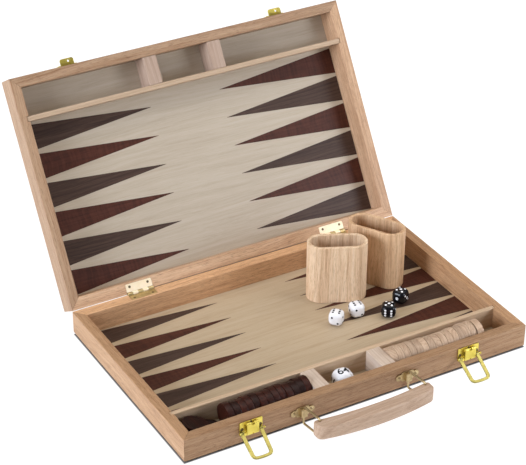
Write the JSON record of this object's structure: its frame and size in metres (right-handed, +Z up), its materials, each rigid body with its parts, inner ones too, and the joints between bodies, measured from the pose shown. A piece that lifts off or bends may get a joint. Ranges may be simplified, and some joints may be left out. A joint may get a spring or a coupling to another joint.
{
  "type": "backgammon case",
  "caption": "Wooden attache backgammon case, opened on its hinges, with inlaid board, carrying handle, draw latches, dice cups, dice and checkers.",
  "frame": {"origin": "middle of the underside of the lower tray, on the surface it stands on", "axes": "+X along the case, +Y towards the hinges, +Z up"},
  "size_m": [0.38, 0.4285, 0.2287],
  "materials": {
    "frame_wood": "satin lacquer",
    "board_wood": "satin lacquer",
    "pale_wood": "matt",
    "handle_wood": "satin",
    "cup_wood": "matt",
    "dark_checker_wood": "satin lacquer",
    "light_checker_wood": "satin",
    "hinge_brass": "polished",
    "latch_brass": "polished",
    "handle_brass": "dull",
    "white_plastic": "gloss",
    "black_plastic": "gloss"
  },
  "bodies": {
    "base": {"base_board": "board_wood", "base_divider": "pale_wood", "base_front_rail": "frame_wood", "base_left_block": "pale_wood", "base_left_rail": "frame_wood", "base_rear_rail": "frame_wood", "base_right_block": "pale_wood", "base_right_rail": "frame_wood", "black_die_left": "black_plastic", "black_die_right": "black_plastic", "dark_checker_13": "dark_checker_wood", "dark_checker_14": "dark_checker_wood", "dark_checker_15": "dark_checker_wood", "dark_checkers_11_12": "dark_checker_wood", "dark_checkers_1_2": "dark_checker_wood", "dark_checkers_3_4": "dark_checker_wood", "dark_checkers_5_6": "dark_checker_wood", "dark_checkers_7_8": "dark_checker_wood", "dark_checkers_9_10": "dark_checker_wood", "dice_cup_left": "cup_wood", "dice_cup_right": "cup_wood", "doubling_die": "white_plastic", "handle_left_bracket": "handle_brass", "handle_right_bracket": "handle_brass", "hinge_left_base_leaf": "hinge_brass", "hinge_left_pin": "hinge_brass", "hinge_right_base_leaf": "hinge_brass", "hinge_right_pin": "hinge_brass", "latch_left_plate": "latch_brass", "latch_right_plate": "latch_brass", "light_checker_15": "light_checker_wood", "light_checkers_11_12": "light_checker_wood", "light_checkers_13_14": "light_checker_wood", "light_checkers_1_2": "light_checker_wood", "light_checkers_3_4": "light_checker_wood", "light_checkers_5_6": "light_checker_wood", "light_checkers_7_8": "light_checker_wood", "light_checkers_9_10": "light_checker_wood", "white_die_left": "white_plastic", "white_die_right": "white_plastic"},
    "lid": {"hinge_left_lid_leaf": "hinge_brass", "hinge_right_lid_leaf": "hinge_brass", "latch_left_strike": "latch_brass", "latch_right_strike": "latch_brass", "lid_board": "board_wood", "lid_divider": "pale_wood", "lid_front_rail": "frame_wood", "lid_left_block": "pale_wood", "lid_left_rail": "frame_wood", "lid_rear_rail": "frame_wood", "lid_right_block": "pale_wood", "lid_right_rail": "frame_wood"},
    "left_lever": {"latch_left_lever": "latch_brass"},
    "right_lever": {"latch_right_lever": "latch_brass"},
    "left_loop": {"latch_left_loop": "latch_brass"},
    "right_loop": {"latch_right_loop": "latch_brass"},
    "left_ring": {"handle_left_ring": "handle_brass"},
    "right_ring": {"handle_right_ring": "handle_brass"},
    "grip": {"handle_grip": "handle_wood"}
  },
  "joints": [
    {"name": "lid_hinge", "type": "hinge", "parent": "base", "child": "lid", "pos_m": [0, 0.1203, 0.026], "axis": [-1, 0, 0], "range_deg": [-94, 58]},
    {"name": "left_lever_hinge", "type": "hinge", "parent": "base", "child": "left_lever", "pos_m": [-0.121, -0.1217, 0.0226], "axis": [-1, 0, 0], "range_deg": [0, 80]},
    {"name": "left_loop_hinge", "type": "hinge", "parent": "base", "child": "left_loop", "pos_m": [-0.121, -0.1217, 0.0138], "axis": [-1, 0, 0], "range_deg": [0, 112]},
    {"name": "right_lever_hinge", "type": "hinge", "parent": "base", "child": "right_lever", "pos_m": [0.121, -0.1217, 0.0226], "axis": [-1, 0, 0], "range_deg": [0, 80]},
    {"name": "right_loop_hinge", "type": "hinge", "parent": "base", "child": "right_loop", "pos_m": [0.121, -0.1217, 0.0138], "axis": [-1, 0, 0], "range_deg": [0, 112]},
    {"name": "left_ring_swing", "type": "hinge", "parent": "base", "child": "left_ring", "pos_m": [-0.0656, -0.1213, 0.0112], "axis": [0, 0, 1], "range_deg": [-75, 50]},
    {"name": "right_ring_swing", "type": "hinge", "parent": "base", "child": "right_ring", "pos_m": [0.0508, -0.1213, 0.0112], "axis": [0, 0, 1], "range_deg": [-75, 50]},
    {"name": "grip_turn", "type": "hinge", "parent": "left_ring", "child": "grip", "pos_m": [-0.0626, -0.14491, 0.0112], "axis": [0, 0, 1], "range_deg": [-50, 75]}
  ],
  "couplings": [
    {"joint": "right_ring_swing", "follows": "left_ring_swing", "ratio": 1},
    {"joint": "grip_turn", "follows": "left_ring_swing", "ratio": -1}
  ]
}
